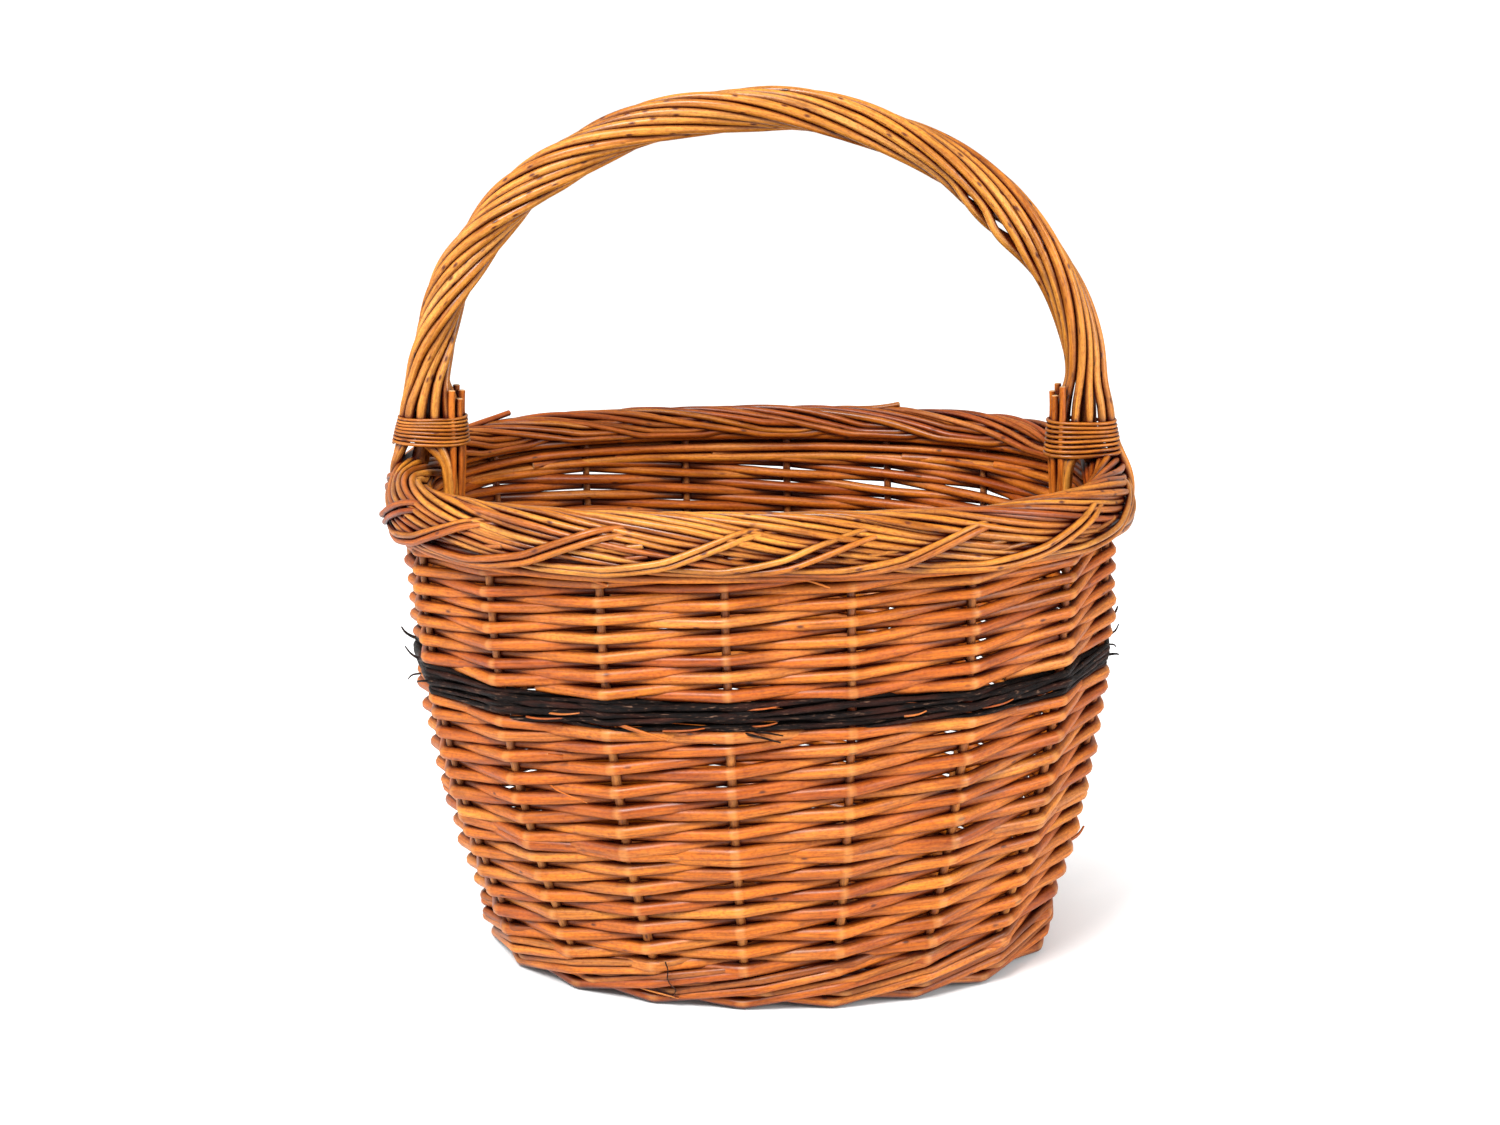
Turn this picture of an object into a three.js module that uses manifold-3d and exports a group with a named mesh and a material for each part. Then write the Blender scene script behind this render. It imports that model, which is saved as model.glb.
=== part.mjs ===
// A woven willow market basket: an oval base on a slath of crossed sticks, upright stakes, a woven
// wall with a dark waled band, a three-strand plaited border and a fixed roped hoop handle.
// Millimetres, +Z up. The origin is on the floor under the middle of the rim. +X runs along the
// basket's length, in the plane of the handle, and +Y runs to the back.

import * as THREE from "three";
import { mergeVertices } from "three/addons/utils/BufferGeometryUtils.js";
import Module from "manifold-3d";

const wasm = await Module();
wasm.setup();

// ---- Driving dimensions ----

const FIT_GAP = 0.35; // room left round every rod that passes through another piece

// The wall's middle surface is an oval that opens out from the base to the rim.
const RIM = { halfLength: 196, halfDepth: 156, power: 2.6, height: 296 };
const BASE = { halfLength: 158, halfDepth: 109, power: 2.05, sideShift: 8 };
const WALL_BULGE = 16; // how far the wall swells at mid height
const ROW_TILT = 4; // how far the rows at mid height rise towards the right end

// Upright stakes, spaced evenly round the wall. The phase sets one stake close beside each handle leg.
const STAKES = 18;
const STAKE_PHASE = 0.217;
const STAKE_RADIUS = { butt: 2.8, tip: 2.3 };
const STAKE_TOP = 275;
const TOE = { length: 34, height: 7.5 }; // the end of each stake that is pushed into the base

// The woven bands of the wall, from the foot up. Woven rods swell round each stake.
const WEAVE_THIN = 3.5; // half the wall's thickness half way between two stakes
const WEAVE_THICK = 8.4; // half the wall's thickness at a stake
const BANDS = [
  { name: "foot_wale", from: 0, to: 22, levels: 1, colour: "foot" },
  { name: "lower_weave", from: 22, to: 174, levels: 2, colour: "willow" },
  { name: "dark_wale", from: 174, to: 193, levels: 1, colour: "dark" },
  { name: "upper_weave", from: 193, to: 256, levels: 1, colour: "willow" },
];

// The base: a woven oval plate on a slath of long sticks threaded through pierced cross sticks.
const PLATE = { bottom: 3, top: 14, inset: 9 };
const STICKS = { height: 15, inset: 13, sides: 8 };
const LONG_STICKS = { count: 3, spacing: 24, radius: 2.2 };
const CROSS_STICKS = { count: 5, spacing: 42, radius: 4.2 };

// The plaited border lies over the rim on an arch, seen in a section across the wall.
const ARCH = { out: 2, height: 272, across: 11, up: 18, middleAngle: 68 };
const PLAIT = { strands: 3, periods: 6, sweepAngle: 95, lift: 3.1, halfWidth: 5.1, halfThickness: 2 };
const CORE = { out: 2.2, height: 271.5, halfWidth: 4.8, halfHeight: 10.5 }; // rods laid inside the plait
const PLAIT_PHASE = Math.PI / 2; // puts an opening of the plait over each handle leg

// The handle: a bow rod, with its legs pushed down into the wall, under a rope of five strands.
const BOW = { halfSpan: 188.5, springHeight: 328, rise: 161.5, radius: 5.8 };
const BOW_LEG = { radius: 4.2, end: 150 };
const BOW_TAPER = { from: 296, to: 335 }; // heights between which the bow thickens above its legs
const ROPE = { strands: 5, twists: 12, radius: 9.4, halfWidth: 4.9, halfThickness: 2.4 };
const LINER = { radius: 2, spread: 5 };

// Each binding is a winding of thin rod round the foot of the handle.
const BINDING = { bottom: 300, turns: 8, pitch: 2.1, wall: 1, bead: 1, squareness: 4 };
const BINDING_BOTTOM = { middle: 189, halfLength: 19.5, halfDepth: 14.5 };
const BINDING_TOP = { middle: 186.5, halfLength: 15.8, halfDepth: 13.6 };

// ---- Materials ----

function finish(colour, roughness) {
  return new THREE.MeshStandardMaterial({ color: colour, roughness, metalness: 0 });
}

const MATERIALS = {
  willow: finish(0xc8702c, 0.55),
  foot: finish(0xbd6526, 0.55),
  dark: finish(0x2a2423, 0.6),
  stake: finish(0xb8692d, 0.6),
  border: finish(0xd08a42, 0.5),
  handle: finish(0xd79347, 0.5),
  stick: finish(0xa85f2a, 0.65),
};

// ---- The oval wall ----

const UP = new THREE.Vector3(0, 0, 1);
const lerp = THREE.MathUtils.lerp;
const smooth = THREE.MathUtils.smoothstep;

// The wall's oval at a height: its half axes, its squareness and how far its middle is shifted.
function ovalAt(height) {
  const t = height / RIM.height;
  const swell = 4 * WALL_BULGE * t * (1 - t);
  return {
    a: lerp(BASE.halfLength, RIM.halfLength, t) + swell,
    b: lerp(BASE.halfDepth, RIM.halfDepth, t) + swell,
    power: lerp(BASE.power, RIM.power, t),
    shift: BASE.sideShift * (1 - t),
  };
}

function ovalRadius(oval, angle) {
  const along = Math.abs(Math.cos(angle) / oval.a) ** oval.power;
  const across = Math.abs(Math.sin(angle) / oval.b) ** oval.power;
  return (along + across) ** (-1 / oval.power);
}

// Gives a function from a share of the way round an oval, measured along its edge, to an angle.
function evenAngles(oval) {
  const STEPS = 1440;
  const lengths = [0];
  const point = (i) => {
    const angle = (2 * Math.PI * i) / STEPS;
    const r = ovalRadius(oval, angle);
    return new THREE.Vector2(r * Math.cos(angle), r * Math.sin(angle));
  };
  for (let i = 1; i <= STEPS; i++) {
    lengths.push(lengths[i - 1] + point(i).distanceTo(point(i - 1)));
  }
  return (share) => {
    const turns = Math.floor(share);
    const wanted = (share - turns) * lengths[STEPS];
    let i = 1;
    while (lengths[i] < wanted) i++;
    const part = (wanted - lengths[i - 1]) / (lengths[i] - lengths[i - 1]);
    return 2 * Math.PI * (turns + (i - 1 + part) / STEPS);
  };
}

const angleAtBase = evenAngles(ovalAt(0));
const angleAtRim = evenAngles(ovalAt(RIM.height));

function rowTilt(x, height) {
  return (ROW_TILT * Math.sin((Math.PI * height) / RIM.height) * x) / RIM.halfLength;
}

// The outward and sideways directions of the wall at a share of the way round.
function wallAxes(share, height) {
  const oval = ovalAt(height);
  const angle = lerp(angleAtBase(share), angleAtRim(share), height / RIM.height);
  const r = ovalRadius(oval, angle);
  const x = r * Math.cos(angle);
  const y = r * Math.sin(angle);
  const slope = (v, half) => (Math.sign(v) * Math.abs(v / half) ** (oval.power - 1)) / half;
  const out = new THREE.Vector3(slope(x, oval.a), slope(y, oval.b), 0).normalize();
  return { x: x + oval.shift, y, out, along: UP.clone().cross(out) };
}

// A point of the wall, moved outwards by some offset.
function onWall(share, height, outwards = 0) {
  const { x, y, out } = wallAxes(share, height);
  const point = new THREE.Vector3(x, y, height).addScaledVector(out, outwards);
  point.z += rowTilt(point.x, height);
  return point;
}

// Half the thickness of the weave: it swells where rods pass a stake or a handle leg.
function halfWeave(share) {
  const atStake = Math.cos(Math.PI * (share * STAKES - STAKE_PHASE)) ** 2;
  const fromLeg = Math.abs(share * 2 - Math.round(share * 2)) * (STAKES / 2);
  const atLeg = 1 - smooth(fromLeg, 0.3, 0.8);
  return lerp(WEAVE_THIN, WEAVE_THICK, Math.max(atStake, atLeg));
}

// ---- Making shapes ----

function reshape(geometry, place) {
  const positions = geometry.getAttribute("position");
  const v = new THREE.Vector3();
  for (let i = 0; i < positions.count; i++) {
    v.fromBufferAttribute(positions, i);
    v.copy(place(v));
    positions.setXYZ(i, v.x, v.y, v.z);
  }
  return geometry;
}

// Sweeps an oval section along a path. at(t) gives the section's centre, its wide direction and
// its two half sizes. The path is open, with closed ends.
function sweep(at, sides, steps) {
  const rod = new THREE.CylinderGeometry(1, 1, 1, sides, steps);
  const EPSILON = 1e-3;
  return reshape(rod, (v) => {
    const t = v.y + 0.5;
    const { centre, wide, halfWidth, halfThickness } = at(t);
    const ahead = at(Math.min(1, t + EPSILON)).centre;
    const forward = ahead.sub(at(Math.max(0, t - EPSILON)).centre).normalize();
    const thick = wide.clone().cross(forward).normalize();
    return centre
      .clone()
      .addScaledVector(wide, v.x * halfWidth)
      .addScaledVector(thick, v.z * halfThickness);
  });
}

// A closed ring of any section. place(around, i) puts point i of the section, counted from the
// bottom of the outer side, at a share of the way round.
function ringOf(points, segments, place) {
  const TUBE = 0.25;
  const ring = new THREE.TorusGeometry(1, TUBE, points, segments);
  return reshape(ring, (v) => {
    const around = Math.atan2(v.y, v.x) / (2 * Math.PI);
    const turn = Math.atan2(v.z, Math.hypot(v.x, v.y) - 1) / (2 * Math.PI);
    return place(around, Math.round((turn + 1) * points) % points);
  });
}

// Sweeps an oval section round a path that closes on itself.
function sweepLoop(at, sides, steps) {
  const EPSILON = 1e-3;
  return ringOf(sides, steps, (t, i) => {
    const { centre, wide, halfWidth, halfThickness } = at(t);
    const forward = at(t + EPSILON).centre.sub(at(t - EPSILON).centre).normalize();
    const thick = forward.clone().cross(wide).normalize();
    const angle = (2 * Math.PI * i) / sides;
    return centre
      .clone()
      .addScaledVector(wide, Math.sin(angle) * halfWidth)
      .addScaledVector(thick, Math.cos(angle) * halfThickness);
  });
}

function toSolid(geometry) {
  const bare = geometry.clone();
  bare.deleteAttribute("normal");
  bare.deleteAttribute("uv");
  const merged = mergeVertices(bare, 1e-3);
  return new wasm.Manifold(
    new wasm.Mesh({
      numProp: 3,
      vertProperties: new Float32Array(merged.attributes.position.array),
      triVerts: new Uint32Array(merged.index.array),
    }),
  );
}

function toGeometry(solid) {
  const mesh = solid.getMesh();
  const geometry = new THREE.BufferGeometry();
  geometry.setAttribute("position", new THREE.BufferAttribute(mesh.vertProperties, 3));
  geometry.setIndex(new THREE.BufferAttribute(mesh.triVerts, 1));
  return geometry;
}

function cut(geometry, cutters) {
  return toGeometry(cutters.reduce((solid, cutter) => solid.subtract(cutter), toSolid(geometry)));
}

const basket = new THREE.Group();

function addPiece(name, geometry, material) {
  const mesh = new THREE.Mesh(geometry, material);
  mesh.name = name;
  basket.add(mesh);
}

function pad(number) {
  return String(number).padStart(2, "0");
}

// ---- Stakes ----

// Each stake is pushed into the base, turns up at the foot and runs up the wall into the border.
function stakeGeometry(index, grow) {
  const share = (index + STAKE_PHASE) / STAKES;
  const points = [
    onWall(share, TOE.height, -TOE.length - grow),
    onWall(share, TOE.height, -TOE.length / 2),
    onWall(share, TOE.height + 0.5, -8),
    onWall(share, TOE.height + 5, -1.5),
  ];
  const WALL_POINTS = 6;
  for (let i = 0; i < WALL_POINTS; i++) {
    points.push(onWall(share, lerp(24, STAKE_TOP + grow, i / (WALL_POINTS - 1))));
  }
  const path = new THREE.CatmullRomCurve3(points);
  const wide = wallAxes(share, RIM.height / 2).along;
  return sweep(
    (t) => {
      const radius = lerp(STAKE_RADIUS.butt, STAKE_RADIUS.tip, t) + grow;
      return { centre: path.getPoint(t), wide, halfWidth: radius, halfThickness: radius };
    },
    5,
    7,
  );
}

const stakeCutters = [];
for (let i = 0; i < STAKES; i++) {
  addPiece(`stake_${pad(i + 1)}`, stakeGeometry(i, 0), MATERIALS.stake);
  stakeCutters.push(toSolid(stakeGeometry(i, FIT_GAP)));
}

// ---- Handle ----

// A point of the handle's middle line, given as a share of its length from leg to leg.
function bowPath() {
  const leg = (side) =>
    [BOW_LEG.end, 190, 226, 258].map((height) => onWall(side < 0 ? 0.5 : 0, height));
  const foot = (side) => [
    new THREE.Vector3(side * 196.2, 0, 284),
    new THREE.Vector3(side * 190.5, 0, 306),
  ];
  const arch = [];
  const ARCH_STEPS = 12;
  for (let i = 0; i <= ARCH_STEPS; i++) {
    const angle = Math.PI * (1 - i / ARCH_STEPS);
    const x = BOW.halfSpan * Math.cos(angle);
    arch.push(new THREE.Vector3(x, 0, BOW.springHeight + BOW.rise * Math.sin(angle)));
  }
  const left = [...leg(-1), ...foot(-1)];
  const right = [...leg(1), ...foot(1)].reverse();
  return new THREE.CatmullRomCurve3([...left, ...arch, ...right]);
}

const bow = bowPath();
const DEPTHWISE = new THREE.Vector3(0, 1, 0);

function bowGeometry(grow) {
  return sweep(
    (t) => {
      const centre = bow.getPoint(t);
      const radius = lerp(BOW_LEG.radius, BOW.radius, smooth(centre.z, BOW_TAPER.from, BOW_TAPER.to)) + grow;
      return { centre, wide: DEPTHWISE, halfWidth: radius, halfThickness: radius };
    },
    6,
    30,
  );
}

// Where the five rope strands lie at each foot: two pass outside the border and three inside it.
const FOOT_SLOTS = [
  { outside: true, depth: 5.3 },
  { outside: false, depth: 8.7 },
  { outside: false, depth: 0 },
  { outside: false, depth: -8.7 },
  { outside: true, depth: -5.3 },
];
const FOOT_HALF_WIDTH = 3.9;
const FOOT_TOP = 345;
const FOOT_OUTSIDE = footCurve([
  [216, 244],
  [218, 258],
  [218.9, 274],
  [215.9, 287],
  [205, 296],
  [200, 305],
  [197.5, 320],
  [196, 333],
  [195, FOOT_TOP],
]);
const FOOT_INSIDE = footCurve([
  [184, 222],
  [181, 244],
  [178, 262],
  [176.5, 280],
  [177, 298],
  [178, 310],
  [178.5, 322],
  [178.5, 333],
  [178.3, FOOT_TOP],
]);

function footCurve(points) {
  return new THREE.SplineCurve(points.map(([x, z]) => new THREE.Vector2(x, z)));
}

// Half the share of the bow's own parameter that lies above a height.
function bowShareAbove(height) {
  const STEP = 1e-3;
  let share = 0.5;
  while (bow.getPoint(share).z > height) share -= STEP;
  return 0.5 - share;
}

const ARCH_FROM = 0.5 - bowShareAbove(FOOT_TOP);

// A strand's place on the twisted rope, at a share u of the way from foot to foot.
function onRope(index, u) {
  const s = lerp(ARCH_FROM, 1 - ARCH_FROM, u);
  const forward = bow.getTangent(s);
  const outer = new THREE.Vector3(-forward.z, 0, forward.x);
  const front = DEPTHWISE.clone().negate();
  const angle = ((2 * Math.PI) / ROPE.strands) * (0.5 + index + ROPE.twists * u);
  const centre = bow
    .getPoint(s)
    .addScaledVector(outer, ROPE.radius * Math.cos(angle))
    .addScaledVector(front, ROPE.radius * Math.sin(angle));
  const wide = outer.multiplyScalar(-Math.sin(angle)).addScaledVector(front, Math.cos(angle));
  return { centre, wide };
}

// A strand's place in a foot, at a share of the way from its end to the rope.
function inFoot(index, side, share) {
  const slot = FOOT_SLOTS[(index + (side < 0 ? 0 : ROPE.twists)) % ROPE.strands];
  const at = (slot.outside ? FOOT_OUTSIDE : FOOT_INSIDE).getPoint(Math.min(share, 1));
  return {
    centre: new THREE.Vector3(side * at.x, -slot.depth, at.y),
    wide: new THREE.Vector3(0, slot.outside ? -1 : 1, 0),
  };
}

// One strand: up out of the left foot, twisting round the bow and down into the right foot.
function ropeStrand(index) {
  const FOOT_SHARE = 0.13;
  const BLEND = { from: 0.1, to: 0.15 };
  return (t) => {
    const fromEnd = Math.min(t, 1 - t);
    const foot = inFoot(index, t < 0.5 ? -1 : 1, fromEnd / FOOT_SHARE);
    const u = (t - FOOT_SHARE) / (1 - 2 * FOOT_SHARE);
    const rope = onRope(index, THREE.MathUtils.clamp(u, -0.02, 1.02));
    const blend = smooth(fromEnd, BLEND.from, BLEND.to);
    return {
      centre: foot.centre.lerp(rope.centre, blend),
      wide: foot.wide.lerp(rope.wide, blend).normalize(),
      halfWidth: lerp(FOOT_HALF_WIDTH, ROPE.halfWidth, blend),
      halfThickness: ROPE.halfThickness,
    };
  };
}

for (let i = 0; i < ROPE.strands; i++) {
  addPiece(`handle_rope_strand_${i + 1}`, sweep(ropeStrand(i), 6, 48), MATERIALS.handle);
}
addPiece("handle_bow", bowGeometry(0), MATERIALS.handle);
const legCutter = toSolid(bowGeometry(FIT_GAP));

// The short cut ends of the rods that line the handle's foot stick up above each binding.
function linerGeometry(side, depth) {
  const path = new THREE.CatmullRomCurve3(
    [
      [175.6, 242],
      [173.8, 262],
      [172, 285],
      [172.6, 303],
      [173.2, 319],
      [171.5, 334],
    ].map(([x, z]) => new THREE.Vector3(side * x, depth, z)),
  );
  const at = (t) => ({
    centre: path.getPoint(t),
    wide: DEPTHWISE,
    halfWidth: LINER.radius,
    halfThickness: LINER.radius,
  });
  return sweep(at, 6, 6);
}

// A winding of thin rod, as one ring with a bead for each turn, round the flared foot.
function bindingGeometry(side) {
  const steps = BINDING.turns * 2;
  const points = steps + 3; // the beaded outer face, and two points of the plain inner face
  const CORNERS = 16;
  return ringOf(points, CORNERS, (around, i) => {
    const inner = i > steps;
    const up = inner ? points - 1 - i : i / steps;
    const offset = inner ? 0 : BINDING.wall + (i % 2) * BINDING.bead;
    const section = {
      a: lerp(BINDING_BOTTOM.halfLength, BINDING_TOP.halfLength, up) + offset,
      b: lerp(BINDING_BOTTOM.halfDepth, BINDING_TOP.halfDepth, up) + offset,
      power: BINDING.squareness,
    };
    const angle = 2 * Math.PI * around;
    const r = ovalRadius(section, angle);
    const middle = side * lerp(BINDING_BOTTOM.middle, BINDING_TOP.middle, up);
    const height = BINDING.bottom + BINDING.turns * BINDING.pitch * up;
    return new THREE.Vector3(middle + r * Math.cos(angle), r * Math.sin(angle), height);
  });
}

for (const [name, side] of [
  ["left", -1],
  ["right", 1],
]) {
  addPiece(`${name}_handle_binding`, bindingGeometry(side), MATERIALS.border);
  addPiece(`${name}_handle_liner_front`, linerGeometry(side, -LINER.spread), MATERIALS.handle);
  addPiece(`${name}_handle_liner_back`, linerGeometry(side, LINER.spread), MATERIALS.handle);
}

// ---- Woven wall ----

// One woven band, as a ring that follows the oval and swells round every stake.
function bandGeometry(band) {
  const PER_STAKE = 4;
  const GAP = 0.35; // between one band and the next
  const perSide = band.levels + 1;
  return ringOf(2 * perSide, STAKES * PER_STAKE, (around, i) => {
    const share = around + STAKE_PHASE / STAKES;
    const side = i < perSide ? 1 : -1;
    const up = (side > 0 ? i : 2 * perSide - 1 - i) / band.levels;
    const height = lerp(band.from > 0 ? band.from + GAP : 0, band.to, up);
    return onWall(share, height, side * halfWeave(share));
  });
}

for (const band of BANDS) {
  const cutters = band.to > BOW_LEG.end ? [...stakeCutters, legCutter] : stakeCutters;
  addPiece(band.name, cut(bandGeometry(band), cutters), MATERIALS[band.colour]);
}

// ---- Plaited border ----

function plaitStrand(index) {
  return (share) => {
    const phase = PLAIT_PHASE + 2 * Math.PI * (PLAIT.periods * share + index / PLAIT.strands);
    const angle = THREE.MathUtils.degToRad(ARCH.middleAngle + PLAIT.sweepAngle * Math.sin(phase));
    const lift = PLAIT.lift * Math.sin(2 * phase);
    const { out } = wallAxes(share, ARCH.height);
    const centre = onWall(share, ARCH.height, ARCH.out + (ARCH.across + lift) * Math.cos(angle));
    centre.z += (ARCH.up + lift) * Math.sin(angle);
    const wide = out.multiplyScalar(-Math.sin(angle)).addScaledVector(UP, Math.cos(angle)).normalize();
    return { centre, wide, halfWidth: PLAIT.halfWidth, halfThickness: PLAIT.halfThickness };
  };
}

function coreGeometry() {
  const at = (share) => ({
    centre: onWall(share, CORE.height, CORE.out),
    wide: UP,
    halfWidth: CORE.halfHeight,
    halfThickness: CORE.halfWidth,
  });
  return sweepLoop(at, 6, 54);
}

addPiece("border_core", cut(coreGeometry(), [...stakeCutters, legCutter]), MATERIALS.border);
for (let i = 0; i < PLAIT.strands; i++) {
  addPiece(`border_plait_strand_${i + 1}`, sweepLoop(plaitStrand(i), 6, 72), MATERIALS.border);
}

// ---- Base ----

function plateGeometry() {
  const outline = new THREE.Shape();
  const POINTS = 48;
  const corners = [];
  for (let i = 0; i < POINTS; i++) {
    const edge = onWall(i / POINTS, PLATE.bottom, -PLATE.inset);
    corners.push(new THREE.Vector2(edge.x, edge.y));
  }
  outline.setFromPoints(corners);
  const settings = { depth: PLATE.top - PLATE.bottom, bevelEnabled: false };
  return new THREE.ExtrudeGeometry(outline, settings).translate(0, 0, PLATE.bottom);
}

// A straight stick across the base, at a distance from its middle line.
function stickGeometry(set, offset, lengthwise, grow) {
  const oval = ovalAt(PLATE.bottom);
  const [half, other] = lengthwise ? [oval.a, oval.b] : [oval.b, oval.a];
  const edge = half * (1 - Math.abs(offset / other) ** oval.power) ** (1 / oval.power);
  const length = 2 * (edge - STICKS.inset + grow);
  const radius = set.radius + grow;
  const stick = new THREE.CylinderGeometry(radius, radius, length, STICKS.sides);
  if (lengthwise) stick.rotateZ(Math.PI / 2);
  const [x, y] = lengthwise ? [0, offset] : [offset, 0];
  return stick.translate(x + oval.shift, y, STICKS.height);
}

function offsets(set) {
  return Array.from({ length: set.count }, (_, i) => (i - (set.count - 1) / 2) * set.spacing);
}

function stickCutters(set, lengthwise) {
  return offsets(set).map((offset) => toSolid(stickGeometry(set, offset, lengthwise, FIT_GAP)));
}

const longCutters = stickCutters(LONG_STICKS, true);
const crossCutters = stickCutters(CROSS_STICKS, false);

offsets(LONG_STICKS).forEach((y, i) => {
  addPiece(`base_long_stick_${i + 1}`, stickGeometry(LONG_STICKS, y, true, 0), MATERIALS.stick);
});
offsets(CROSS_STICKS).forEach((x, i) => {
  const pierced = cut(stickGeometry(CROSS_STICKS, x, false, 0), longCutters);
  addPiece(`base_cross_stick_${i + 1}`, pierced, MATERIALS.stick);
});
addPiece(
  "base_weave",
  cut(plateGeometry(), [...longCutters, ...crossCutters, ...stakeCutters]),
  MATERIALS.willow,
);

export default basket;
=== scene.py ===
"""The looks of a woven willow market basket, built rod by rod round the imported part.

Every rod of the real basket is a tapering tube here: stakes, weavers, wales, the plaited border,
the roped handle with its bindings, and the woven base. Metres, +Z up, +X along the basket.
"""

import math

import bpy
import numpy as np
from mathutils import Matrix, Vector


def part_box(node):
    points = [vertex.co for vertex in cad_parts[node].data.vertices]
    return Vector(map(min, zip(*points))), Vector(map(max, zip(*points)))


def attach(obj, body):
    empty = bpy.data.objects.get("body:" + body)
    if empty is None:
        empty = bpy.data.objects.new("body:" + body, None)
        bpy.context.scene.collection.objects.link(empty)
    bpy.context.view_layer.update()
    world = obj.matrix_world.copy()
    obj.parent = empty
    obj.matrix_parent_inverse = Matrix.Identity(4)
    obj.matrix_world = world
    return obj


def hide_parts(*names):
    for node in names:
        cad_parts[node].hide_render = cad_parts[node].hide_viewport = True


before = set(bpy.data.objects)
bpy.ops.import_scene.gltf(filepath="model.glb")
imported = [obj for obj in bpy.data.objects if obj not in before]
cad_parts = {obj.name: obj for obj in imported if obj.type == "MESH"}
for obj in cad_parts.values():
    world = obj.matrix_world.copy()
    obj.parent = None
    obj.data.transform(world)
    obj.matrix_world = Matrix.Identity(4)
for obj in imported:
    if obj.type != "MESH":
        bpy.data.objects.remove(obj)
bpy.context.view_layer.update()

MM = 0.001
rng = np.random.default_rng(7)

# ---- Sizes that the part's own source also states ----

RIM = {"half_length": 196 * MM, "half_depth": 156 * MM, "power": 2.6, "height": 296 * MM}
BASE = {"half_length": 158 * MM, "half_depth": 109 * MM, "power": 2.05, "shift": 8 * MM}
WALL_BULGE = 16 * MM
ROW_TILT = 4 * MM
RIM_LENGTH = 1.14  # metres round the rim
STAKES = 18
STAKE_PHASE = 0.217
BORDER_ARCH = {"out": 2 * MM, "height": 272 * MM, "across": 11 * MM, "up": 18 * MM}
BORDER_ARCH_ANGLES = (-27, 163)
BOW_SHAPE = {"half_span": 188.5 * MM, "spring_height": 328 * MM, "rise": 161.5 * MM}

# ---- Rods ----

STAKE_RADIUS = {"butt": 2.9 * MM, "tip": 2.3 * MM}
STAKE_TOP = 276 * MM
STAKE_TOE = {"height": 7.5 * MM, "bend": 14 * MM, "softness": 4 * MM}  # where it turns in to the base

# Each set of French randing, in mm: the height of its first row, the rise from row to row, the
# number of rows, and the radius of its rods at the butt and at the tip.
RANDING_SETS = (
    {
        "name": "lower_weave_first",
        "node": "lower_weave",
        "from": 25.5,
        "pitch": 6.5,
        "rows": 12,
        "radii": (4.15, 3.75),
    },
    {
        "name": "lower_weave_second",
        "node": "lower_weave",
        "from": 102.5,
        "pitch": 6.2,
        "rows": 12,
        "radii": (3.95, 3.6),
    },
    {
        "name": "upper_weave",
        "node": "upper_weave",
        "from": 196,
        "pitch": 5.0,
        "rows": 14,
        "radii": (3.4, 3.05),
    },
)
RANDING_PIECES = 3  # each set is shared out between this many meshes
RANDING_GRIP = 0.52  # how far a weaver stands off a stake, in its own radii
RANDING_WANDER = {"height": 0.62 * MM, "depth": 0.35 * MM}
KINK_REACH = {"wall": 3.2 * MM, "foot": 5 * MM}  # how far the pale place on a bend spreads: wear and a painted highlight

RING_SPACING = 2.6 * MM
ROD_SIDES = 10
THIN_ROD_SIDES = 7
CUT_BEVEL = 0.18  # of the radius, on a cut end
BEND_STEP = 1 * MM
STAKE_BEND = 1.9 * MM  # how softly a weaver bends over a stake


def smoothstep(low, high, value):
    t = np.clip((value - low) / (high - low), 0, 1)
    return t * t * (3 - 2 * t)


def lerp(a, b, t):
    return a + (b - a) * t


# ---- The oval wall ----


def oval_at(height):
    """Half axes, squareness and sideways shift of the wall's oval at a height."""
    t = height / RIM["height"]
    swell = 4 * WALL_BULGE * t * (1 - t)
    a = lerp(BASE["half_length"], RIM["half_length"], t) + swell
    b = lerp(BASE["half_depth"], RIM["half_depth"], t) + swell
    return a, b, lerp(BASE["power"], RIM["power"], t), BASE["shift"] * (1 - t)


def oval_radius(a, b, power, angle):
    along = np.abs(np.cos(angle) / a) ** power
    across = np.abs(np.sin(angle) / b) ** power
    return (along + across) ** (-1 / power)


def even_angles(height):
    """A function from a share of the way round the oval, along its edge, to an angle."""
    a, b, power, _ = oval_at(height)
    angles = np.linspace(0, 2 * np.pi, 1441)
    r = oval_radius(a, b, power, angles)
    steps = np.hypot(np.diff(r * np.cos(angles)), np.diff(r * np.sin(angles)))
    lengths = np.concatenate(([0], np.cumsum(steps)))
    return lambda share: np.interp(share % 1, lengths / lengths[-1], angles)


angle_at_base = even_angles(0)
angle_at_rim = even_angles(RIM["height"])


def wall(share, height, outwards=0.0):
    """Points of the wall's middle surface, moved outwards, and the outward directions."""
    given = [np.asarray(value, float) for value in (share, height, outwards)]
    share, height, outwards = np.broadcast_arrays(*given)
    a, b, power, shift = oval_at(height)
    angle = lerp(angle_at_base(share), angle_at_rim(share), height / RIM["height"])
    r = oval_radius(a, b, power, angle)
    x, y = r * np.cos(angle), r * np.sin(angle)
    out_x = np.sign(x) * np.abs(x / a) ** (power - 1) / a
    out_y = np.sign(y) * np.abs(y / b) ** (power - 1) / b
    size = np.hypot(out_x, out_y)
    out = np.stack((out_x / size, out_y / size, np.zeros_like(size)), -1)
    points = np.stack((x + shift, y, height), -1) + out * outwards[..., None]
    tilt = ROW_TILT * np.sin(np.pi * height / RIM["height"]) / RIM["half_length"]
    points[..., 2] += tilt * points[..., 0]
    return points, out


def stake_share(index):
    """The place of a stake, as a share of the way round. A fractional index lies between stakes."""
    return (index + STAKE_PHASE) / STAKES


# ---- Paths ----


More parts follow.
